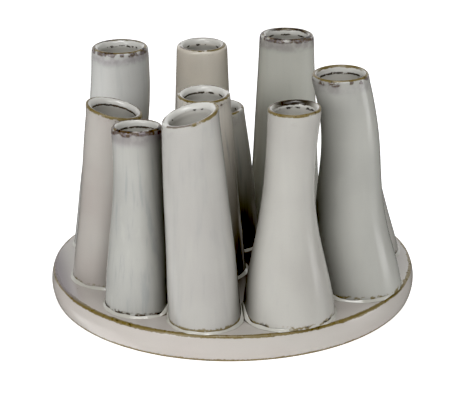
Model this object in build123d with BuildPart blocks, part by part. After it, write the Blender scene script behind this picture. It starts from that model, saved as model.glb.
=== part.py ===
"""Ceramic flower frog: eleven hand-thrown stem tubes standing on one round disc.

Millimetres, +Z up. The origin is the middle of the disc's underside, on the
surface that the disc stands on. -Y is the front. Nothing moves: the tubes are
stood on the disc with slip, and the glaze that pools round each foot fires
into a bead that holds it.
"""
import math
import os
from typing import NamedTuple

from build123d import *

# --- Driving dimensions -------------------------------------------------------

DISC_RADIUS = 100.0      # widest part of the disc, half way up its side
DISC_HEIGHT = 14.5
DISC_EDGE_RADIUS = 98.4  # where the bulging side meets the top and the bottom
TOP_ROUND = 0.8
BOTTOM_ROUND = 0.6
FOOT_RING_INNER = 88.0   # the recess inside this radius is off the table
RECESS_DEPTH = 1.5
RECESS_ROUND = 1.0

FLOOR = 4.0              # clay under the water in each tube
HEIGHTS = (0.0, 0.15, 0.45, 0.8, 1.0)  # foot, ankle, waist, shoulder, mouth: shares above the band
OVERRUN = 1.15           # a tube is thrown this much too long, then cut slantwise
LIP_SHARE = 0.44         # each lip rounding, as a share of the wall

FOOT_BAND = 2.4          # the bottom of each tube is upright for this height
BEAD_WIDTH = 2.2
BEAD_HEIGHT = FOOT_BAND
BEAD_SAG = 0.55          # how far its outside is hollowed


class Tube(NamedTuple):
    """One stem tube, leaning and slightly bowed, with its mouth cut on a slope."""

    name: str
    foot: tuple      # x, y of the foot's middle
    mouth: tuple     # x, y, z of the mouth's middle
    radii: tuple     # outer radius at each of HEIGHTS
    bow: tuple       # how far it bends along +X off the straight line, and the share where most
    slope: tuple     # rise of the mouth for each millimetre along +X and +Y
    wall: float      # thickness of the wall


TUBES = (
    Tube("front_centre", (-14.1, -77.5), (-20.3, -70.5, 122.0),
         (18.7, 18.2, 16.9, 15.1, 14.0), (0.0, 0.5), (0.275, 0.08), 3.8),
    Tube("front_left", (-46.9, -57.0), (-47.6, -53.0, 110.5),
         (19.8, 18.7, 15.5, 12.7, 13.0), (0.6, 0.5), (0.0, -0.05), 3.2),
    Tube("left", (-65.2, -19.8), (-61.1, -16.0, 108.0),
         (21.5, 20.3, 17.8, 15.8, 14.4), (0.0, 0.5), (-0.24, 0.03), 3.4),
    Tube("back_left", (-69.5, 26.0), (-60.6, 30.0, 128.5),
         (20.5, 19.1, 17.4, 16.4, 15.6), (1.5, 0.8), (0.0, 0.0), 4.0),
    Tube("back_centre", (-17.0, 72.0), (-16.2, 62.0, 120.0),
         (19.5, 18.0, 16.3, 15.2, 14.4), (0.0, 0.5), (0.0, 0.03), 4.2),
    Tube("back_right", (31.0, 66.0), (32.0, 60.0, 126.5),
         (21.5, 20.0, 18.2, 16.3, 15.4), (0.0, 0.5), (-0.02, -0.02), 4.0),
    Tube("right_back", (70.5, 11.0), (61.0, 10.0, 104.0),
         (22.8, 20.0, 16.0, 13.4, 13.6), (0.0, 0.5), (0.05, 0.0), 3.4),
    Tube("right", (66.5, -36.0), (55.6, -26.0, 129.0),
         (23.9, 20.8, 17.1, 14.8, 15.0), (3.5, 0.87), (0.02, 0.02), 3.0),
    Tube("front_right", (28.6, -70.3), (31.6, -64.0, 122.8),
         (24.0, 21.4, 14.8, 12.5, 13.3), (-1.75, 0.5), (0.03, 0.0), 2.8),
    Tube("inner_front", (-12.5, -15.0), (-14.4, -10.0, 113.5),
         (20.0, 19.2, 16.8, 15.2, 14.2), (0.0, 0.5), (0.0, 0.045), 3.8),
    Tube("inner_back", (-2.5, 25.0), (-7.0, 21.0, 96.0),
         (18.5, 18.0, 17.0, 15.4, 14.0), (0.0, 0.5), (0.0, 0.03), 3.6),
)


# --- Disc ---------------------------------------------------------------------

with BuildPart() as disc:
    with BuildSketch(Plane.XZ) as disc_half:
        with BuildLine():
            Polyline(
                (0, RECESS_DEPTH),
                (FOOT_RING_INNER - RECESS_DEPTH, RECESS_DEPTH),
                (FOOT_RING_INNER, 0),
                (DISC_EDGE_RADIUS, 0),
            )
            ThreePointArc(
                (DISC_EDGE_RADIUS, 0),
                (DISC_RADIUS, DISC_HEIGHT / 2),
                (DISC_EDGE_RADIUS, DISC_HEIGHT),
            )
            Polyline((DISC_EDGE_RADIUS, DISC_HEIGHT), (0, DISC_HEIGHT), (0, RECESS_DEPTH))
        make_face()
    revolve(axis=Axis.Z)
    rims = disc.edges().filter_by(GeomType.CIRCLE)
    outer_rims = rims.filter_by(lambda rim: abs(rim.radius - DISC_EDGE_RADIUS) < 0.01)
    fillet(outer_rims.sort_by(Axis.Z)[-1], radius=TOP_ROUND)
    fillet(outer_rims.sort_by(Axis.Z)[0], radius=BOTTOM_ROUND)
    recess_corner = rims.filter_by(lambda rim: rim.radius < FOOT_RING_INNER - 0.1)
    fillet(recess_corner, radius=RECESS_ROUND)


# --- Stem tubes ---------------------------------------------------------------

def middle_at(tube, share):
    """The tube's middle at this share of the way from its foot band to its mouth."""
    bow_size, bow_share = tube.bow
    power = math.log(0.5) / math.log(bow_share)  # turns bow_share into a half
    bow = bow_size * math.sin(math.pi * min(share, 1.0) ** power)
    band_top = DISC_HEIGHT + FOOT_BAND
    x = tube.foot[0] + (tube.mouth[0] - tube.foot[0]) * share + bow
    y = tube.foot[1] + (tube.mouth[1] - tube.foot[1]) * share
    z = band_top + (tube.mouth[2] - band_top) * share
    return x, y, z


def mouth_plane(tube):
    """The sloping plane that the mouth is cut on."""
    rise_x, rise_y = tube.slope
    return Plane(origin=tube.mouth, z_dir=(-rise_x, -rise_y, 1))


def outer_sections(tube):
    """Share of the height and radius of each level circle that shapes the outside."""
    sections = list(zip(HEIGHTS, tube.radii))
    sections.append((OVERRUN, tube.radii[-1]))
    return sections


def water_sections(tube):
    """The same for the hollow, from the top of the tube's own floor."""
    floor_share = (FLOOR - FOOT_BAND) / (tube.mouth[2] - DISC_HEIGHT - FOOT_BAND)
    sections = [(share, radius - tube.wall) for share, radius in outer_sections(tube)]
    sections[0] = (floor_share, tube.radii[1] - tube.wall)
    return sections


def make_tube(tube):
    """One tube with its own floor, so that it holds water."""
    with BuildPart() as body:
        with BuildSketch(Plane.XY.offset(DISC_HEIGHT)):
            with Locations(tube.foot):
                Circle(tube.radii[0])
        extrude(amount=FOOT_BAND)
        for share, radius in outer_sections(tube):
            x, y, z = middle_at(tube, share)
            with BuildSketch(Plane.XY.offset(z)):
                with Locations((x, y)):
                    Circle(radius)
        loft()
        for share, radius in water_sections(tube):
            x, y, z = middle_at(tube, share)
            with BuildSketch(Plane.XY.offset(z)):
                with Locations((x, y)):
                    Circle(radius)
        loft(mode=Mode.SUBTRACT)
        split(bisect_by=mouth_plane(tube), keep=Keep.BOTTOM)
        lip = body.faces().sort_by(Axis.Z)[-1]
        fillet(lip.edges(), radius=LIP_SHARE * tube.wall)
    return body


# --- Glaze beads --------------------------------------------------------------

def midway_plane(tube, other):
    """The upright plane half way between two feet, facing the other foot, or None if far."""
    here, there = Vector(*tube.foot), Vector(*other.foot)
    gap = (there - here).length - tube.radii[0] - other.radii[0]
    if gap > 2 * BEAD_WIDTH:
        return None
    facing = (there - here).normalized()
    return Plane(origin=here + facing * (tube.radii[0] + gap / 2), z_dir=facing)


def make_bead(tube):
    """The pooled glaze round one foot band. Beads of close neighbours meet midway."""
    x, y = tube.foot
    inner = tube.radii[0]
    outer = inner + BEAD_WIDTH
    with BuildPart() as bead:
        with BuildSketch(Plane((x, y, DISC_HEIGHT), x_dir=(1, 0, 0), z_dir=(0, -1, 0))):
            with BuildLine():
                Polyline((outer, 0), (inner, 0), (inner, BEAD_HEIGHT))
                SagittaArc((inner, BEAD_HEIGHT), (outer, 0), -BEAD_SAG)
            make_face()
        revolve(axis=Axis((x, y, 0), (0, 0, 1)))
        Cylinder(
            DISC_EDGE_RADIUS - TOP_ROUND,
            DISC_HEIGHT + BEAD_HEIGHT,
            align=(Align.CENTER, Align.CENTER, Align.MIN),
            mode=Mode.INTERSECT,
        )
        for other in TUBES:
            cut = midway_plane(tube, other) if other is not tube else None
            if cut:
                split(bisect_by=cut, keep=Keep.BOTTOM)
    return bead


# --- Files, one for each piece ------------------------------------------------

os.makedirs("parts", exist_ok=True)


def write(piece, name):
    """Name a finished piece and write it to its own file."""
    piece.part.label = name
    export_step(piece.part, f"parts/{name}.step")


write(disc, "base_disc")

tube_bodies = [make_tube(tube) for tube in TUBES]
glaze_beads = [make_bead(tube) for tube in TUBES]

for tube, body, bead in zip(TUBES, tube_bodies, glaze_beads):
    write(body, f"tube_{tube.name}")
    write(bead, f"bead_{tube.name}")
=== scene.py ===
"""Looks of a ceramic flower frog: leaning stem tubes on a round disc under a glossy reactive glaze.

Everything is in metres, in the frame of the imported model, with -Y to the front.
"""
import math
from typing import NamedTuple

import bmesh
import bpy
import numpy as np
from mathutils import Matrix, Vector, noise


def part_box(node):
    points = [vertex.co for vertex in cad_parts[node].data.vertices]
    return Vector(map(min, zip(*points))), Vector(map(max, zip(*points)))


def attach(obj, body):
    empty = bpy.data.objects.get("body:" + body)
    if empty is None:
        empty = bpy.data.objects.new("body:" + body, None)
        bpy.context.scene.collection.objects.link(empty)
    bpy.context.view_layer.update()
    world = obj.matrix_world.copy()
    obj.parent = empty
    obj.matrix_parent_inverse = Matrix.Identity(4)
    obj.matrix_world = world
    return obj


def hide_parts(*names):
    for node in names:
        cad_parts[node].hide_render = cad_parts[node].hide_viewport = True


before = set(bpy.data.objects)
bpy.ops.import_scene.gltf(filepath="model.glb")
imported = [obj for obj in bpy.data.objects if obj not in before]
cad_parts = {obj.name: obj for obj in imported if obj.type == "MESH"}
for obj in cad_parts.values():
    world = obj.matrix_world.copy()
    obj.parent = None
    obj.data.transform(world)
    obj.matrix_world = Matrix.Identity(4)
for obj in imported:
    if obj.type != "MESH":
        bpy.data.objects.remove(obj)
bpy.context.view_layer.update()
MM = 0.001


# --- Camera -------------------------------------------------------------------
# A long lens about eight disc radii in front of the frog and well above it,
# aimed a little under the middle of the tubes, without any shift.

disc_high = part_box("base_disc")[1]
disc_radius = disc_high.x

SENSOR_WIDTH = 36.0
LENS = 126.3
CAMERA_PLACE = Vector((0.0, -8.166, 3.66)) * disc_radius
CAMERA_TURN = math.radians(0.144)
CAMERA_PITCH = math.radians(21.214)
CAMERA_ROLL = math.radians(-0.564)
BLACK_LEVEL = 0.04       # deepens the darkest tones a little

camera_data = bpy.data.cameras.new("camera")
camera_data.sensor_width = SENSOR_WIDTH
camera_data.lens = LENS
camera = bpy.data.objects.new("camera", camera_data)
bpy.context.collection.objects.link(camera)
camera.matrix_world = (
    Matrix.Translation(CAMERA_PLACE)
    @ Matrix.Rotation(CAMERA_TURN, 4, "Z")
    @ Matrix.Rotation(math.pi / 2 - CAMERA_PITCH, 4, "X")
    @ Matrix.Rotation(CAMERA_ROLL, 4, "Z")
)
bpy.context.scene.camera = camera
view = bpy.context.scene.view_settings
view.view_transform = "Standard"
view.use_curve_mapping = True
view.curve_mapping.black_level = (BLACK_LEVEL,) * 3


# --- Floor and light ----------------------------------------------------------
# A white table and a far white wall, burnt out to plain white, and five soft boxes.
# The glaze mirrors a white sheet behind the frog and two upright sheets beside it.

FLOOR_SIZE = 60.0
FLOOR_GLOW = 0.85
WALL_RADIUS = 28.0
WALL_HEIGHT = 40.0
WALL_SIDES = 64
WALL_GLOW = 1.2
STUDIO_PAINT = (0.8, 0.8, 0.8, 1.0)
STUDIO_ROUGHNESS = 0.9
PLAIN_WHITE = (1.0, 1.0, 1.0, 1.0)

BOX_SIZE = 5 * disc_radius
BOX_DISTANCE = 13 * disc_radius
BOX_AIM = 0.6 * disc_radius       # height of the point that every soft box faces

# A sheet spans bearings, in radians to the right of the front, and rises of the ray,
# from -1 straight down to 1 straight up. The third number is how soft the edge is.
REAR_SHEET_EDGE = (2.15, 2.35)
REAR_SHEET_RISE = (-0.1, 0.75, 0.1)
LEFT_SHEET_BEARING = (-2.1, -1.35, 0.05)
LEFT_SHEET_RISE = (-0.8, -0.335, 0.02)
LEFT_SHEET_GLOW = 1.2
RIGHT_SHEET_BEARING = (1.2, 1.8, 0.06)
RIGHT_SHEET_RISE = (-0.35, 0.25, 0.06)
RIGHT_SHEET_GLOW = 0.45
ROOM_GLOW = 0.03


class Wire:
    """A socket in a node tree. Sums on wires add Math nodes."""

    def __init__(self, tree, socket=None):
        self.tree = tree
        self.socket = socket

    def node(self, kind, settings=None, links=None, output=0):
        """Any node: its settings are set first, then the values or wires of its sockets."""
        made = self.tree.nodes.new("ShaderNode" + kind)
        for name, value in (settings or {}).items():
            setattr(made, name, value)
        for name, value in (links or {}).items():
            if isinstance(value, Wire):
                self.tree.links.new(value.socket, made.inputs[name])
            else:
                made.inputs[name].default_value = value
        return Wire(self.tree, made.outputs[output])

    def math(self, operation, *values):
        """A Math node on wires and numbers."""
        return self.node("Math", {"operation": operation}, dict(enumerate(values)))

    def __add__(self, other):
        return self.math("ADD", self, other)

    __radd__ = __add__

    def __sub__(self, other):
        return self.math("SUBTRACT", self, other)

    def __rsub__(self, other):
        return self.math("SUBTRACT", other, self)

    def __mul__(self, other):
        return self.math("MULTIPLY", self, other)

    __rmul__ = __mul__

    def rise(self, low, high):
        """0 below low, 1 above high and smooth between. With low above high it falls instead."""
        if low > high:
            return 1.0 - self.rise(high, low)
        links = {"Value": self, "From Min": low, "From Max": high}
        return self.node("MapRange", {"interpolation_type": "SMOOTHSTEP"}, links)

    def band(self, low, high, soft):
        """1 between low and high, fading out over soft at each side."""
        return self.rise(low - soft, low + soft) * self.rise(high + soft, high - soft)

    def blend(self, first, second):
        """first where this mask is 0, second where it is 1."""
        links = {0: self, 6: first, 7: second}
        return self.node("Mix", {"data_type": "RGBA"}, links, output=2)


def soft_box(name, turn, rise, power):
    """A square soft box, turned to the right of the front and raised, in degrees."""
    light = bpy.data.lights.new(name, "AREA")
    light.size = BOX_SIZE
    light.energy = power
    lamp = bpy.data.objects.new(name, light)
    bpy.context.collection.objects.link(lamp)
    turn, rise = math.radians(turn), math.radians(rise)
    across = math.cos(rise)
    place = Vector((math.sin(turn) * across, -math.cos(turn) * across, math.sin(rise)))
    lamp.location = place * BOX_DISTANCE
    aim = Vector((0.0, 0.0, BOX_AIM)) - lamp.location
    lamp.rotation_euler = aim.to_track_quat("-Z", "Y").to_euler()
    return lamp


soft_box("left_box", -35, 24, 4.3)
soft_box("low_left_box", -55, 8, 3.3).visible_glossy = False
soft_box("right_box", 28, 40, 3.4)
soft_box("top_box", -10, 66, 7.5)
soft_box("right_edge_box", 85, 10, 1.6)

world = bpy.data.worlds.new("studio")
world.use_nodes = True
background = world.node_tree.nodes["Background"]
ray = Wire(world.node_tree).node("TexCoord")
along_x, along_y, along_z = (ray.node("SeparateXYZ", {}, {0: ray}, axis) for axis in range(3))
bearing = along_x.math("ARCTAN2", along_x, along_y * -1.0)
rear_sheet = bearing.math("ABSOLUTE", bearing).rise(*REAR_SHEET_EDGE)
rear_sheet = rear_sheet * along_z.band(*REAR_SHEET_RISE)
left_sheet = bearing.band(*LEFT_SHEET_BEARING) * along_z.band(*LEFT_SHEET_RISE)
right_sheet = bearing.band(*RIGHT_SHEET_BEARING) * along_z.band(*RIGHT_SHEET_RISE)
glow = rear_sheet + left_sheet * LEFT_SHEET_GLOW + right_sheet * RIGHT_SHEET_GLOW + ROOM_GLOW
world.node_tree.links.new(glow.socket, background.inputs["Strength"])
background.inputs["Color"].default_value = PLAIN_WHITE
bpy.context.scene.world = world


def staged(name, mesh, strength):
    """A plain white surface of the studio, which the glaze doesn't mirror."""
    data = bpy.data.meshes.new(name)
    mesh.to_mesh(data)
    mesh.free()
    surface = bpy.data.objects.new(name, data)
    bpy.context.collection.objects.link(surface)
    surface.visible_glossy = False
    paint = bpy.data.materials.new(f"{name}_white")
    paint.use_nodes = True
    shader = paint.node_tree.nodes["Principled BSDF"]
    shader.inputs["Base Color"].default_value = STUDIO_PAINT
    shader.inputs["Roughness"].default_value = STUDIO_ROUGHNESS
    shader.inputs["Emission Color"].default_value = PLAIN_WHITE
    shader.inputs["Emission Strength"].default_value = strength
    data.materials.append(paint)
    return surface


floor_mesh = bmesh.new()
bmesh.ops.create_grid(floor_mesh, x_segments=1, y_segments=1, size=FLOOR_SIZE / 2)
staged("floor", floor_mesh, FLOOR_GLOW)

wall_mesh = bmesh.new()
bmesh.ops.create_cone(
    wall_mesh, segments=WALL_SIDES,
    radius1=WALL_RADIUS, radius2=WALL_RADIUS, depth=WALL_HEIGHT,
)
wall = staged("far_wall", wall_mesh, WALL_GLOW)
wall.visible_diffuse = False
wall.visible_shadow = False


# --- Base disc ----------------------------------------------------------------
# One thrown slab with a bulging side and a crisp top edge. It stands on a ring
# wiped bare of glaze, with a shallow recess inside it. The glaze is a pale grey
# reactive one. It runs thin over every edge and breaks there to olive and brown.

TOP_EDGE = 1.6 * MM        # how far the top edge stands in from the widest part
RECESS_RADIUS = 0.88       # as a share of the disc's radius
RECESS_DEPTH = 1.5 * MM
DISC_STEPS = 160
DISC_WAVE = 0.22 * MM
DISC_WAVES = 22.0          # to the metre, as are the other waves below
EDGE_THIN = 0.15           # the olive line on the top edge is narrower by this, in millimetres

CLOUD_WAVES = 30.0         # slow changes of the body colour
STREAK_WAVES = 330.0       # across the runs
STREAK_STRETCH = 0.08      # their width as a share of their length
SPECK_WAVES = 1600.0
RAGGED_WAVES = 620.0       # small wander of the edge lines
BROKEN_WAVES = 130.0       # where the edge lines stop and start
PATCH_WAVES = 260.0
PIT_CELLS = 48.0           # one pinhole in each cell, so many cells to the metre
PIT_EDGE = (0.02, 0.012)   # radius of its rim, outside and inside, as a share of a cell

# Millimetres along the wall from the crest of a lip or from the disc's top edge, less
# than 0 outside it. The third number of a band is how softly it ends.
TINT_EDGE = (-22.0, -4.0)
HALO_BAND = (-7.5, -1.5, 2.5)
SHOULDER_BAND = (-3.2, -1.0, 0.5)
LINE_BAND = (-1.35, 0.1, 0.2)
CREST_BAND = (-0.9, 0.5, 0.15)
ROLL_BAND = (-0.6, 4.3, 0.5)
INSIDE_EDGE = (3.6, 5.5)
SEAM_BAND = (4.1, 5.1, 0.25)

# How fully each mark covers the glaze under it.
CLOUD_COVER = 0.35
PALE_RUN_COVER = 0.6
SPECK_COVER = 0.1
TINT_COVER = 0.14
CREVICE_SHADE_COVER = 0.86
ROLL_COVER = 0.9
HALO_COVER = 0.5
SHOULDER_COVER = 0.8
CREST_COVER = 0.75
LINE_COVER = 0.95
SEAM_COVER = 0.85
WORN_COVER = 0.85
PIT_COVER = 0.85

GLOSS_ROUGHNESS = 0.13
LINE_ROUGHNESS = 0.12      # added by a line where the glaze is thin
CLAY_ROUGHNESS = 0.6
RELIEF = 0.4 * MM
RELIEF_STRENGTH = 0.6

LIP_RADIUS = 14 * MM       # of a usual stem tube's mouth
FOOT_LINE = 2.1            # how high the olive line at a foot reaches, in millimetres
BARE_LINE = 0.2            # the clay below this is wiped bare, in millimetres
DISC_TOP_LINE = (14.4, 14.9)  # above the foot, in millimetres: only the disc's top is higher
SHADE_PATCH_EDGE = (6.1, 6.9)    # where the painted dark patch of shade and reflection starts, in lip radii from the middle

# Painted shade low in the middle of the cluster, where the tubes shade each other.
CROWD_RADIUS = 52 * MM     # the tubes stand close together inside this
CROWD_EDGE = 1.35          # in crowd radii: none outside it, all of it one further in
CROWD_HEIGHT = 90 * MM
CROWD_TOP = 1.15           # the same in crowd heights

disc_top = disc_high.z


def colour(red, green, blue):
    """An sRGB colour in 0 to 255 as linear RGBA."""
    shares = [channel / 255 for channel in (red, green, blue)]
    linear = [
        ((share + 0.055) / 1.055) ** 2.4 if share > 0.04 else share / 12.92
        for share in shares
    ]
    return (*linear, 1.0)


GLAZE_THICK = colour(181, 180, 174)
# The lip's pale roll: partly its thicker glaze and partly painted light on the top of the lip,
# which faces up.
LIP_GLAZE_AND_TOP_LIGHT = colour(206, 205, 200)
GLAZE_SHADE = colour(140, 141, 140)
GLAZE_BLUISH = colour(134, 139, 141)
GLAZE_INSIDE = colour(186, 184, 178)
BREAK_OLIVE = colour(110, 97, 62)
BREAK_BROWN = colour(72, 54, 36)
BREAK_BLACK = colour(34, 27, 22)
HALO_PURPLE = colour(106, 98, 102)
# Painted shade: the dark olive-brown put where tubes stand close and in the cluster's low middle.
PAINTED_CREVICE_SHADE = colour(42, 38, 29)
PINHOLE = colour(40, 32, 26)
BARE_CLAY = colour(156, 130, 100)


class Finish(NamedTuple):
    """How the glaze came out on one piece."""

    hue: tuple             # body colour, sRGB
    runs: float = 0.1      # strength of the vertical runs
    line: float = 0.5      # how much of the edge breaks through as a line, 0 to 1
    brown: float = 0.3     # from olive, 0, to near black, 1
    side: float = 0.0      # degrees round to the right where the line is strongest
    lean: float = 0.0      # how much the line keeps to that side
    inward: float = 0.2    # how far it spreads over the top of the lip there, in millimetres
    burnt: float = 0.0     # how black it is over the top of the lip
    blotch: float = 0.1    # how much of the shoulder has dark purple patches
    seam: float = 0.5      # how much of the inner edge has a dark line
    foot: float = 0.4      # how much of the foot shows olive
    shade_patch: float = 0.0     # painted shade: a dark patch far out to that side, for dark reflection and shade


def noise_on(points, waves, detail, roughness=0.5):
    """Even noise from 0 to 1 at that many waves to the metre."""
    links = {"Vector": points, "Scale": waves, "Detail": detail, "Roughness": roughness}
    return points.node("TexNoise", {}, links)


class Surface:
    """What a glaze is painted by: noises, and distances in millimetres kept on the mesh."""

    def __init__(self, tree, finish, middle):
        start = Wire(tree)
        self.points = points = start.node("TexCoord", output=3)
        self.from_lip = start.node("Attribute", {"attribute_name": "from_lip"}, output=2)
        self.above_foot = start.node("Attribute", {"attribute_name": "above_foot"}, output=2)
        self.crevice_shade = start.node("Attribute", {"attribute_name": "crevice_shade"}, output=2)
        stretch = {"Vector": points, "Scale": (1.0, 1.0, STREAK_STRETCH)}
        stretched = points.node("Mapping", {}, stretch)

        self.clouds = noise_on(points, CLOUD_WAVES, 2.0)
        self.streaks = noise_on(stretched, STREAK_WAVES, 3.0)
        self.specks = noise_on(points, SPECK_WAVES, 1.0)
        self.ragged = noise_on(points, RAGGED_WAVES, 3.0, 0.6)
        self.broken = noise_on(points, BROKEN_WAVES, 3.0, 0.6)
        self.patches = noise_on(points, PATCH_WAVES, 2.0)
        self.pits = start.node("TexVoronoi", {}, {"Vector": points, "Scale": PIT_CELLS})
        self.pits = self.pits.rise(*PIT_EDGE)
        self.bare = self.above_foot.rise(BARE_LINE, 0.0)

        turn = math.radians(finish.side)
        side = (math.sin(turn), -math.cos(turn), 0.0)
        outward = {0: points, 1: tuple(middle)}
        outward = points.node("VectorMath", {"operation": "SUBTRACT"}, outward)
        dot = {"operation": "DOT_PRODUCT"}
        self.facing = points.node("VectorMath", dot, {0: outward, 1: side}, output=1)
        self.facing = self.facing * (1 / LIP_RADIUS)

    def wander(self, distance, small, large):
        """A distance whose level lines wander by about so many millimetres."""
        return distance + (self.ragged - 0.5) * small + (self.broken - 0.5) * large


def body_colour(on, finish):
    """The body of the glaze: clouds, vertical runs, specks, and painted shade between the tubes and
    in the cluster's middle.
    """
    body = (on.clouds.rise(0.3, 0.7) * CLOUD_COVER).blend(colour(*finish.hue), GLAZE_THICK)
    body = (on.streaks.rise(0.5, 0.72) * finish.runs).blend(body, GLAZE_BLUISH)
    body = (on.streaks.rise(0.45, 0.3) * finish.runs * PALE_RUN_COVER).blend(body, GLAZE_THICK)
    body = (on.specks.rise(0.6, 0.75) * SPECK_COVER).blend(body, GLAZE_SHADE)
    tint = on.from_lip.rise(*TINT_EDGE) * TINT_COVER * finish.blotch
    body = tint.blend(body, HALO_PURPLE)
    # Painted shade between close tubes and low in the cluster's middle.
    body = (on.crevice_shade * CREVICE_SHADE_COVER).blend(body, PAINTED_CREVICE_SHADE)
    body = on.from_lip.rise(*INSIDE_EDGE).blend(body, GLAZE_INSIDE)
    # The roll over the lip painted pale, partly for its thick glaze and partly as painted light on
    # the upward-facing top.
    return (on.from_lip.band(*ROLL_BAND) * ROLL_COVER).blend(body, LIP_GLAZE_AND_TOP_LIGHT)


def rust_colour(on, finish):
    """The colour of thin glaze, patchy from olive to near black."""
    brown = (on.patches + (finish.brown - 0.5) * 0.7).rise(0.42, 0.6)
    black = (on.patches + finish.brown * 0.3).rise(0.66, 0.8)
    return black.blend(brown.blend(BREAK_OLIVE, BREAK_BROWN), BREAK_BLACK)


def edge_line(on, finish):
    """The broken line where glaze runs thin over an edge, and its part inside the edge."""
    edge = on.wander(on.from_lip, 1.2, 1.6)
    thin = on.broken + on.facing * finish.lean + (finish.line - 0.5) * 0.8
    inward = edge.band(0.0, finish.inward, 0.2) * on.facing.rise(0.0, 0.7) * thin.rise(0.4, 0.5)
    line = edge.band(*LINE_BAND) * thin.rise(0.44, 0.52)
    return line.math("MAXIMUM", line, inward), inward


def lip_marks(on, finish, body, line, rust):
    """The halo, blotches and lines round an edge, and the seam inside a mouth."""
    edge = on.wander(on.from_lip, 1.2, 1.6)
    halo = edge.band(*HALO_BAND) * (on.broken + (finish.blotch - 0.5) * 0.6).rise(0.3, 0.7)
    spread = on.patches + (finish.blotch - 0.5) * 0.5
    shoulder = (on.from_lip + (on.broken - 0.5) * 5.0).band(*SHOULDER_BAND)
    shoulder = shoulder * spread.rise(0.46, 0.58)
    blotch = on.ragged.rise(0.38, 0.58).blend(HALO_PURPLE, BREAK_BROWN)
    crest = (on.from_lip + (on.ragged - 0.5) * 0.8).band(*CREST_BAND)
    crest = crest * on.broken.rise(0.38, 0.46)
    inner = (on.from_lip + (on.ragged - 0.5) * 1.2).band(*SEAM_BAND)
    seam = inner * (on.patches + (finish.seam - 0.5) * 0.6).rise(0.47, 0.55)
    soot = on.patches.rise(0.4, 0.6).blend(BREAK_BROWN, BREAK_BLACK)

    body = (halo * HALO_COVER).blend(body, HALO_PURPLE)
    body = (shoulder * SHOULDER_COVER).blend(body, blotch)
    body = (crest * CREST_COVER).blend(body, BREAK_BROWN)
    body = (line * LINE_COVER).blend(body, rust)
    return (seam * SEAM_COVER).blend(body, soot)


def foot_marks(on, finish, body, rust):
    """The worn line at a foot, a painted patch of shade and dark reflection on a top, bare clay and
    pinholes.
    """
    foot_edge = on.wander(on.above_foot, 1.8, 1.4)
    crackle = foot_edge.rise(FOOT_LINE + 0.4, FOOT_LINE - 0.4)
    worn = crackle * (on.patches + (finish.foot - 0.5) * 0.5).rise(0.44, 0.56)
    # Painted shade: a dark patch far out on the top, standing in for dark reflection and shade
    # there.
    shade_patch_mask = on.facing.rise(*SHADE_PATCH_EDGE) * on.above_foot.rise(*DISC_TOP_LINE)

    body = (worn * WORN_COVER).blend(body, rust)
    body = (shade_patch_mask * finish.shade_patch).blend(body, HALO_PURPLE)
    body = on.bare.blend(body, BARE_CLAY)
    return (on.pits * PIT_COVER).blend(body, PINHOLE)


def glaze(name, finish, middle=(0.0, 0.0, 0.0)):
    """The glaze of one piece. middle is the middle of its mouth, for the side of its line."""
    material = bpy.data.materials.new(name)
    material.use_nodes = True
    tree = material.node_tree
    shader = tree.nodes["Principled BSDF"]
    on = Surface(tree, finish, middle)

    line, inward = edge_line(on, finish)
    rust = (inward * finish.burnt).blend(rust_colour(on, finish), BREAK_BLACK)
    body = lip_marks(on, finish, body_colour(on, finish), line, rust)
    body = foot_marks(on, finish, body, rust)
    tree.links.new(body.socket, shader.inputs["Base Color"])

    rough = on.streaks * 0.06 + GLOSS_ROUGHNESS
    rough = rough + line * LINE_ROUGHNESS + on.bare * CLAY_ROUGHNESS
    tree.links.new(rough.socket, shader.inputs["Roughness"])

    skin = on.clouds * 1.6 + on.patches * 0.08 + on.streaks * (0.01 + 0.15 * finish.runs)
    skin = skin - line * 0.2 - on.pits * 0.6
    relief = {"Height": skin, "Strength": RELIEF_STRENGTH, "Distance": RELIEF}
    tree.links.new(skin.node("Bump", {}, relief).socket, shader.inputs["Normal"])
    return material


def piece_from(mesh, name, material, levels=0):
    """Turns a bmesh into a smooth piece that rides on the fired body."""
    bmesh.ops.recalc_face_normals(mesh, faces=mesh.faces)
    data = bpy.data.meshes.new(name)
    mesh.to_mesh(data)
    mesh.free()
    data.materials.append(material)
    data.shade_smooth()
    piece = bpy.data.objects.new(name, data)
    bpy.context.collection.objects.link(piece)
    if levels:
        smooth = piece.modifiers.new("smooth", "SUBSURF")
        smooth.levels = levels
        smooth.render_levels = levels
    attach(piece, "root")
    return piece


def cluster_shade(place):
    """How deep the painted shade is low in the cluster's middle, where the tubes shade each other,
    0 to 1.
    """
    inwards = CROWD_EDGE - place.xy.length / CROWD_RADIUS
    depth = CROWD_TOP - place.z / CROWD_HEIGHT
    return min(max(inwards, 0.0), 1.0) * min(max(depth, 0.0), 1.0)


def disc_profile():
    """Radius and height, from the middle of the underside round to the middle of the top."""
    edge_radius = disc_radius - TOP_EDGE
    ring_inner = disc_radius * RECESS_RADIUS
    points = [
        (0.0, RECESS_DEPTH),
        (ring_inner * 0.5, RECESS_DEPTH),
        (ring_inner - 1.6 * MM, RECESS_DEPTH),
        (ring_inner - 0.5 * MM, RECESS_DEPTH * 0.7),
        (ring_inner, 0.1 * MM),
        (ring_inner + 0.8 * MM, 0.0),
        (edge_radius - 1.2 * MM, 0.0),
        (edge_radius - 0.2 * MM, 0.2 * MM),
    ]
    for share in np.linspace(0.06, 0.94, 9):
        bulge = math.sin(math.pi * share)
        points.append((edge_radius + TOP_EDGE * bulge, disc_top * share))
    points += [
        (edge_radius - 0.1 * MM, disc_top - 0.2 * MM),
        (edge_radius - 0.8 * MM, disc_top),
        (edge_radius - 2.0 * MM, disc_top),
    ]
    for share in (0.93, 0.85, 0.7, 0.5, 0.25, 0.0):
        points.append((edge_radius * share, disc_top))
    return points


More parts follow.
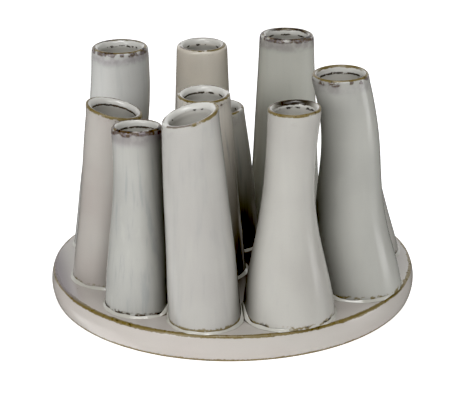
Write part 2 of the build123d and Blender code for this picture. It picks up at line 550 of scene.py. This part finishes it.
disc = bmesh.new()
disc_lip = disc.verts.layers.float.new("from_lip")
disc_foot = disc.verts.layers.float.new("above_foot")
disc_crevice_shade = disc.verts.layers.float.new("crevice_shade")
profile = [disc.verts.new((radius, 0.0, z)) for radius, z in disc_profile()]
strip = [disc.edges.new(pair) for pair in zip(profile, profile[1:])]
bmesh.ops.spin(
    disc, geom=profile + strip, cent=(0, 0, 0), axis=(0, 0, 1),
    angle=2 * math.pi, steps=DISC_STEPS, use_merge=True,
)
bmesh.ops.remove_doubles(disc, verts=disc.verts, dist=0.01 * MM)
for vert in disc.verts:
    radius = vert.co.xy.length
    on_top = vert.co.z > disc_top - 0.1 * MM
    if on_top:
        vert[disc_lip] = -max(0.0, (disc_radius - TOP_EDGE - radius) / MM + EDGE_THIN)
    else:
        vert[disc_lip] = min(0.0, (vert.co.z - disc_top) / MM - EDGE_THIN)
    underneath = radius < disc_radius - TOP_EDGE - 0.5 * MM and not on_top
    vert[disc_foot] = -1.0 if underneath else vert.co.z / MM + 0.5
    # Painted shade on the disc top inside the cluster.
    vert[disc_crevice_shade] = cluster_shade(vert.co)
    if radius > 0.5 * disc_radius and vert.co.z > 0.5 * MM:
        wave = noise.noise(vert.co * DISC_WAVES) * DISC_WAVE
        vert.co.z += wave * (1.0 if on_top else 0.5)
        vert.co.xy *= 1.0 + wave / disc_radius
# The dark patch on the left of the disc's top is painted shade and dark reflection.
disc_finish = Finish(
    (178, 172, 167), runs=0.0, line=0.85, brown=0.12, side=-78,
    blotch=-0.5, seam=0.0, foot=1.0, shade_patch=0.85,
)
base_disc = piece_from(disc, "glazed_disc", glaze("disc_glaze", disc_finish), 1)
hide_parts("base_disc")


# --- Stem tubes ---------------------------------------------------------------
# Each tube is thrown or cast on its own, pulled a little out of true, and cut
# across at the top. A thick roll of glaze gathers on the lip and hangs inside.

SEGMENTS = 40
STATIONS = 13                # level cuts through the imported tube
FIRST_CUT = 0.2 * MM         # above its foot
LAST_CUT = 2.5 * MM          # below the lowest side of its mouth
MOUTH_REACH = 16 * MM        # outer radius of the widest mouth
HOLLOW_SHARE = 0.92          # a cut's points within this share of its radius are on the inside
LIP_DEPTH = 12 * MM
LIP_SECTORS = 24

FOOT_ROUND = 0.5 * MM
FIRST_RING = 3 * MM          # above the foot
LAST_RING = 36 * MM          # below the mouth
RING_STEP = 8 * MM
LIP_BELOW = (30, 21, 14, 9, 6.0, 4.2)        # millimetres under the mouth, down the outside
SHOULDER_TURNS = (20, 40, 60, 76)            # degrees round the outer shoulder of the lip
INNER_TURNS = (0, 22, 45, 68, 90)            # and round its inner side
INNER_DROP = 2.6 * MM
ROLL = ((1.05, -3.6), (1.06, -4.6), (1.0, -6.0))  # walls inward, and millimetres up
WALL_BELOW = (9, 16, 28)
TILT_START = 38              # rings start to slope with the mouth this far under it, in millimetres
OUTER_TILT = 26              # and slope fully this much higher
INNER_TILT = 36
WATER_TOP = 45 * MM          # the inner rings from here down are level
WATER_RINGS = 6
TUBE_FLOOR = 4 * MM          # clay under the water
FLOOR_CORNER = (1 * MM, 4 * MM)

WOBBLE = 0.3 * MM
FAN_TIP = 2 * MM             # the middles of the two floors, inside this radius, stay put
WOBBLE_WAVES = (26.0, 70.0)
WOBBLE_SHARE = 0.4           # of the short waves
SHADE_GAP = 14 * MM        # painted shade starts where a neighbour is closer than this
SHADE_TOP = 6 * MM         # a neighbour's painted shade reaches only places more than this far under its mouth


def level_cut(mesh_points, mesh_edges, z):
    """Middle, outer radius and inner radius of a CAD tube at one height."""
    low, high = mesh_points[mesh_edges[:, 0]], mesh_points[mesh_edges[:, 1]]
    crossing = (low[:, 2] - z) * (high[:, 2] - z) < 0
    low, high = low[crossing], high[crossing]
    share = (z - low[:, 2]) / (high[:, 2] - low[:, 2])
    cut = low + (high - low) * share[:, None]
    middle = (cut.min(0) + cut.max(0)) / 2
    reach = np.hypot(*(cut - middle)[:, :2].T)
    hollow = reach[reach < HOLLOW_SHARE * reach.max()]
    return middle, reach.max(), hollow.max() if len(hollow) else 0.0


class TubeShape:
    """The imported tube's own line, radii, wall and mouth."""

    def __init__(self, node):
        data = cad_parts[node].data
        points = np.empty(len(data.vertices) * 3)
        data.vertices.foreach_get("co", points)
        points = points.reshape(-1, 3)
        edges = np.empty(len(data.edges) * 2, int)
        data.edges.foreach_get("vertices", edges)
        edges = edges.reshape(-1, 2)
        self.fit_mouth(points)
        self.low = points[:, 2].min()
        dip = math.hypot(*self.slope) * MOUTH_REACH
        last = self.mouth.z - dip - LAST_CUT
        self.heights = np.linspace(self.low + FIRST_CUT, last, STATIONS)
        cuts = [level_cut(points, edges, z) for z in self.heights]
        self.middles = np.array([cut[0][:2] for cut in cuts])
        self.radii = np.array([cut[1] for cut in cuts])
        self.wall = cuts[-1][1] - cuts[-1][2]

    def fit_mouth(self, points):
        """A plane through the crest of the lip: its middle and its rise along X and Y."""
        top = points[points[:, 2] > points[:, 2].max() - LIP_DEPTH]
        middle = (top.min(0) + top.max(0)) / 2
        turn = np.arctan2(top[:, 1] - middle[1], top[:, 0] - middle[0])
        crest = []
        for start in np.linspace(-math.pi, math.pi, LIP_SECTORS, endpoint=False):
            near = top[(turn >= start) & (turn < start + 2 * math.pi / LIP_SECTORS)]
            crest.append(near[near[:, 2].argmax()])
        crest = np.array(crest)
        ones = np.ones(len(crest))
        rise_x, rise_y, level = np.linalg.lstsq(
            np.column_stack([crest[:, :2] - middle[:2], ones]), crest[:, 2], rcond=None
        )[0]
        self.slope = (rise_x, rise_y)
        self.mouth = Vector((middle[0], middle[1], level))

    def at(self, z):
        """Middle and radius at a height. Above the last cut it runs on to the mouth."""
        x = np.interp(z, self.heights, self.middles[:, 0])
        y = np.interp(z, self.heights, self.middles[:, 1])
        return Vector((x, y, z)), np.interp(z, self.heights, self.radii)


def ring_matrix(middle, radius, slope):
    """Takes the unit circle to one ring of the tube."""
    tilt = Matrix.Identity(4)
    tilt[2][0], tilt[2][1] = slope
    return Matrix.Translation(middle) @ tilt @ Matrix.Diagonal((radius, radius, 1.0, 1.0))


class RingStack:
    """A round wall drawn upwards, ring by ring, from one circle."""

    def __init__(self, first):
        self.mesh = bmesh.new()
        self.lip = self.mesh.verts.layers.float.new("from_lip")
        self.foot = self.mesh.verts.layers.float.new("above_foot")
        self.crevice_shade = self.mesh.verts.layers.float.new("crevice_shade")
        made = bmesh.ops.create_circle(self.mesh, cap_ends=False, segments=SEGMENTS, radius=1.0)
        self.verts = made["verts"]
        self.first = list(self.verts)
        self.place = first
        bmesh.ops.transform(self.mesh, matrix=first, verts=self.verts)
        self.rings = [(self.verts, first)]

    def extrude(self, verts):
        """The new points of a ring that is extruded in place."""
        edges = {edge for vert in verts for edge in vert.link_edges
                 if all(end in verts for end in edge.verts)}
        grown = bmesh.ops.extrude_edge_only(self.mesh, edges=list(edges))["geom"]
        return [part for part in grown if isinstance(part, bmesh.types.BMVert)]

    def draw(self, place):
        """Extrudes the last ring to a new one."""
        self.verts = self.extrude(self.verts)
        step = place @ self.place.inverted()
        bmesh.ops.transform(self.mesh, matrix=step, verts=self.verts)
        self.place = place
        self.rings.append((self.verts, place))

    def close(self, verts, centre):
        """Closes one end with a fan to its middle."""
        bmesh.ops.pointmerge(self.mesh, verts=self.extrude(verts), merge_co=centre)


def crevice_shade_near(place, shape):
    """How deep the painted shade is at a place on this tube, from nearby tubes and from the
    cluster's middle, 0 to 1.
    """
    nearest = SHADE_GAP
    for other in shapes.values():
        if other is not shape and place.z < other.mouth.z - SHADE_TOP:
            middle, radius = other.at(place.z)
            nearest = min(nearest, (place - middle).length - radius)
    return max(max(0.0, 1.0 - nearest / SHADE_GAP) ** 1.5, cluster_shade(place))


def wobble(mesh, shape):
    """Pulls the wall slightly out of round. The foot and the tips of the fans stay put."""
    slow, fast = WOBBLE_WAVES
    for vert in mesh.verts:
        middle = shape.at(vert.co.z)[0]
        outwards = Vector((vert.co.x - middle.x, vert.co.y - middle.y, 0.0))
        off_foot = vert.co.z > shape.low + FIRST_CUT
        if off_foot and outwards.length > FAN_TIP:
            push = noise.noise(vert.co * slow) + WOBBLE_SHARE * noise.noise(vert.co * fast)
            vert.co += outwards.normalized() * push * WOBBLE


def tube_mesh(shape, lip):
    """The whole wall: up the outside, over the lip, down the inside and across the floor."""
    foot_middle, foot_radius = shape.at(shape.low)
    stack = RingStack(ring_matrix(foot_middle, foot_radius - FOOT_ROUND, (0, 0)))

    def ring(z, inset=0.0, tilt=0.0):
        """A ring this far inside the outer wall, sloping by a share of the mouth's slope."""
        middle, radius = shape.at(z)
        slope = (shape.slope[0] * tilt, shape.slope[1] * tilt)
        return ring_matrix(middle, radius - inset, slope)

    top = shape.mouth.z
    stack.draw(ring(shape.low + FOOT_ROUND))
    for z in np.arange(shape.low + FIRST_RING, top - LAST_RING, RING_STEP):
        stack.draw(ring(z))
    for below in LIP_BELOW:
        tilt = min(1.0, (TILT_START - below) / OUTER_TILT)
        stack.draw(ring(top - below * MM, 0.0, tilt))
    for turn in np.radians(SHOULDER_TURNS):
        inset = lip.crest * shape.wall * (1 - math.cos(turn))
        stack.draw(ring(top - lip.shoulder * MM * (1 - math.sin(turn)), inset, 1.0))
    crest = len(stack.rings)
    for turn in np.radians(INNER_TURNS):
        inset = shape.wall * (lip.crest + (1 - lip.crest) * math.sin(turn))
        stack.draw(ring(top - INNER_DROP * (1 - math.cos(turn)), inset, 1.0))
    for inset, rise in ROLL:
        stack.draw(ring(top + rise * MM, inset * shape.wall, 1.0))
    for below in WALL_BELOW:
        tilt = (TILT_START - below) / INNER_TILT
        stack.draw(ring(top - below * MM, shape.wall, tilt))
    inner_floor = shape.low + TUBE_FLOOR
    corner_height, corner_width = FLOOR_CORNER
    for z in np.linspace(top - WATER_TOP, inner_floor + corner_width, WATER_RINGS):
        stack.draw(ring(z, shape.wall))
    stack.draw(ring(inner_floor + corner_height, shape.wall + corner_height))
    stack.draw(ring(inner_floor, shape.wall + corner_width))

    places = [place.translation + Vector((place[0][0], 0, 0)) for _, place in stack.rings]
    along = [0.0]
    for before, after in zip(places, places[1:]):
        along.append(along[-1] + (after - before).length / MM)
    for (verts, _), distance in zip(stack.rings, along):
        for vert in verts:
            vert[stack.lip] = distance - along[crest]
            vert[stack.foot] = (vert.co.z - shape.low) / MM
            # Painted shade from close neighbours, on the outside of the wall only.
            if distance < along[crest]:
                vert[stack.crevice_shade] = crevice_shade_near(vert.co, shape)
    stack.close(stack.first, foot_middle)
    stack.close(stack.verts, shape.at(inner_floor)[0])
    wobble(stack.mesh, shape)
    return stack.mesh


class Lip(NamedTuple):
    """The rounding of one mouth."""

    crest: float           # how far across the wall the top of the lip is, 0 to 1
    shoulder: float        # how far down its outer rounding starts, in millimetres


# The back and inner tubes' hues are lighter than the front row's. This is partly tone that differs
# from tube to tube and partly painted light that makes up for the shade the front row casts on
# them.
TUBES = {
    "front_centre": (
        Lip(0.22, 1.4),
        Finish(
            (164, 162, 158), 0.15, 0.5, 0.1, side=105, lean=0.5, inward=0.9,
            blotch=0.12, seam=0.3, foot=0.75,
        ),
    ),
    "front_left": (
        Lip(0.45, 2.6),
        Finish(
            (158, 158, 154), 0.4, 0.7, 0.7, side=180, lean=0.15, inward=0.7,
            blotch=0.75, seam=0.6, foot=0.6,
        ),
    ),
    "left": (
        Lip(0.25, 1.6),
        Finish(
            (160, 154, 149), 0.06, 0.75, 0.0, side=-40, lean=0.25, inward=0.5,
            blotch=0.15, seam=0.85, foot=0.4,
        ),
    ),
    "back_left": (
        Lip(0.45, 2.4),
        Finish(
            (184, 184, 181), 0.12, 0.8, 0.45, side=180, inward=1.2, burnt=0.4,
            blotch=0.6, seam=0.5,
        ),
    ),
    "back_centre": (
        Lip(0.5, 2.4),
        Finish((208, 200, 187), 0.05, 0.3, 0.1, side=50, lean=0.3, blotch=0.05, seam=0.4),
    ),
    "back_right": (
        Lip(0.55, 2.6),
        Finish(
            (184, 184, 176), 0.06, 0.75, 0.6, side=160, lean=0.15, inward=2.0,
            burnt=0.4, blotch=0.65, seam=0.5,
        ),
    ),
    "right_back": (
        Lip(0.4, 2.0),
        Finish((163, 161, 156), 0.1, 0.6, 0.4, blotch=0.3),
    ),
    "right": (
        Lip(0.5, 2.6),
        Finish(
            (160, 160, 155), 0.05, 0.95, 0.15, side=180, inward=1.8, blotch=0.45,
            seam=0.6, foot=0.45,
        ),
    ),
    "front_right": (
        Lip(0.3, 1.2),
        Finish(
            (165, 163, 158), 0.05, 0.85, 0.3, side=180, lean=0.1, inward=3.2,
            burnt=0.95, blotch=0.1, seam=0.45, foot=0.5,
        ),
    ),
    "inner_front": (
        Lip(0.35, 2.0),
        Finish(
            (198, 192, 182), 0.5, 0.62, 0.2, side=-20, lean=0.1, blotch=0.25,
            seam=0.55,
        ),
    ),
    "inner_back": (
        Lip(0.35, 2.0),
        Finish((172, 170, 162), 0.45, 0.6, 0.3, blotch=0.3, seam=0.4),
    ),
}

shapes = {name: TubeShape(f"tube_{name}") for name in TUBES}
for name, (lip, finish) in TUBES.items():
    shape = shapes[name]
    paint = glaze(f"glaze_{name}", finish, shape.mouth)
    tube = piece_from(tube_mesh(shape, lip), f"glazed_tube_{name}", paint, 2)
    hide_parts(f"tube_{name}")


# --- Glaze beads --------------------------------------------------------------
# Slip and glaze that ran down each tube and pooled where it meets the disc. Where
# two feet almost touch, their beads run together and climb into a low web.

BEAD_PROFILE = (             # bead widths outwards and bead heights up
    (-0.1, 0.0), (-0.1, 0.92), (0.06, 1.0), (0.3, 0.72),
    (0.6, 0.34), (0.85, 0.12), (1.0, 0.06), (1.0, 0.0),
)
BEAD_WIDTH = 1.2 * MM
BEAD_HEIGHT = 1.3 * MM
BEAD_STEPS = 96
BEAD_UNEVEN = 0.6            # how much the width and the height change round a foot
UNEVEN_WAVES = 2.8
EDGE_MARGIN = 0.3 * MM       # a bead stops this far inside the disc's top edge
WEB_REACH = 3.5 * MM         # beads run together where their feet are closer than twice this
WEB_FILL = 3.0
WEB_CLIMB = 6.5 * MM
WEB_SAG = 0.35               # how much lower the web is midway than at the tube
WEB_OVERLAP = 0.05 * MM
FACING_LEAST = 0.2           # a neighbour further round than this isn't reached
NO_NEIGHBOUR = 1.0
OUTER_FOOT = 1.4             # above_foot at the bead's outer edge, so that a dark olive line shows there: partly glaze breaking thin, partly painted shade in the crevice
CLEAR_FOOT = 9.0             # and over the rest of it
CLEAR_LIP = -30.0            # from_lip, far from any edge line


def spread_limit(name, direction):
    """How far the bead can spread in a direction from a foot's middle, up to half way."""
    here, radius = shapes[name].at(shapes[name].low)
    nearest = NO_NEIGHBOUR
    for other, shape in shapes.items():
        if other == name:
            continue
        there, other_radius = shape.at(shape.low)
        apart = (there - here).xy
        gap = apart.length - radius - other_radius
        facing = direction.dot(apart.normalized())
        if facing > FACING_LEAST:
            midway = radius + max(gap, 0.0) / 2
            nearest = min(nearest, midway / facing)
    return nearest


def bead_mesh(name):
    """One bead, spun round the foot and then fitted to its tube, its neighbours and the disc."""
    middle, radius = shapes[name].at(shapes[name].low)
    mesh = bmesh.new()
    mesh.verts.layers.float.new("from_lip")
    above_foot = mesh.verts.layers.float.new("above_foot")
    from_lip = mesh.verts.layers.float["from_lip"]
    profile = [
        mesh.verts.new((
            middle.x + radius + out * BEAD_WIDTH, middle.y, disc_top + up * BEAD_HEIGHT,
        ))
        for out, up in BEAD_PROFILE
    ]
    edges = [mesh.edges.new(pair) for pair in zip(profile, profile[1:] + profile[:1])]
    bmesh.ops.spin(
        mesh, geom=profile + edges, cent=middle, axis=(0, 0, 1),
        angle=2 * math.pi, steps=BEAD_STEPS, use_merge=True,
    )
    bmesh.ops.remove_doubles(mesh, verts=mesh.verts, dist=0.01 * MM)
    edge_limit = disc_radius - TOP_EDGE - EDGE_MARGIN
    for vert in mesh.verts:
        outwards = (vert.co - middle).xy
        direction = outwards.normalized()
        share = (outwards.length - radius) / BEAD_WIDTH
        room = spread_limit(name, direction) - radius
        close = max(0.0, 1.0 - room / WEB_REACH) ** 2
        seed = Vector((*direction, middle.x * 50))
        uneven = 1.0 + BEAD_UNEVEN * noise.noise(seed * UNEVEN_WAVES)
        reach = max(BEAD_WIDTH * uneven, room * min(1.0, WEB_FILL * close))
        spread = min(share * reach, room + WEB_OVERLAP)
        height = (vert.co.z - disc_top) / BEAD_HEIGHT
        up = height * BEAD_HEIGHT * uneven
        climb = min(1.0, height / 0.05) * (1.0 - WEB_SAG * max(share, 0.0))
        up += close * WEB_CLIMB * climb
        tube_middle, tube_radius = shapes[name].at(disc_top + up)
        flat = tube_middle.xy + direction * (tube_radius + spread)
        if flat.length > edge_limit:
            flat = flat.normalized() * edge_limit
        vert.co = Vector((*flat, disc_top + up))
        # The bead's outer edge takes a dark olive line. This is partly glaze breaking thin and
        # partly painted shade in the crevice at the disc.
        vert[above_foot] = OUTER_FOOT if share > 0.95 else CLEAR_FOOT
        vert[from_lip] = CLEAR_LIP
    return mesh


bead_finish = Finish((178, 176, 168), runs=0.0, line=0.0, blotch=-0.5, seam=0.0, foot=0.55)
bead_paint = glaze("bead_glaze", bead_finish)
for name in shapes:
    bead = piece_from(bead_mesh(name), f"glaze_bead_{name}", bead_paint, 1)
    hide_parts(f"bead_{name}")
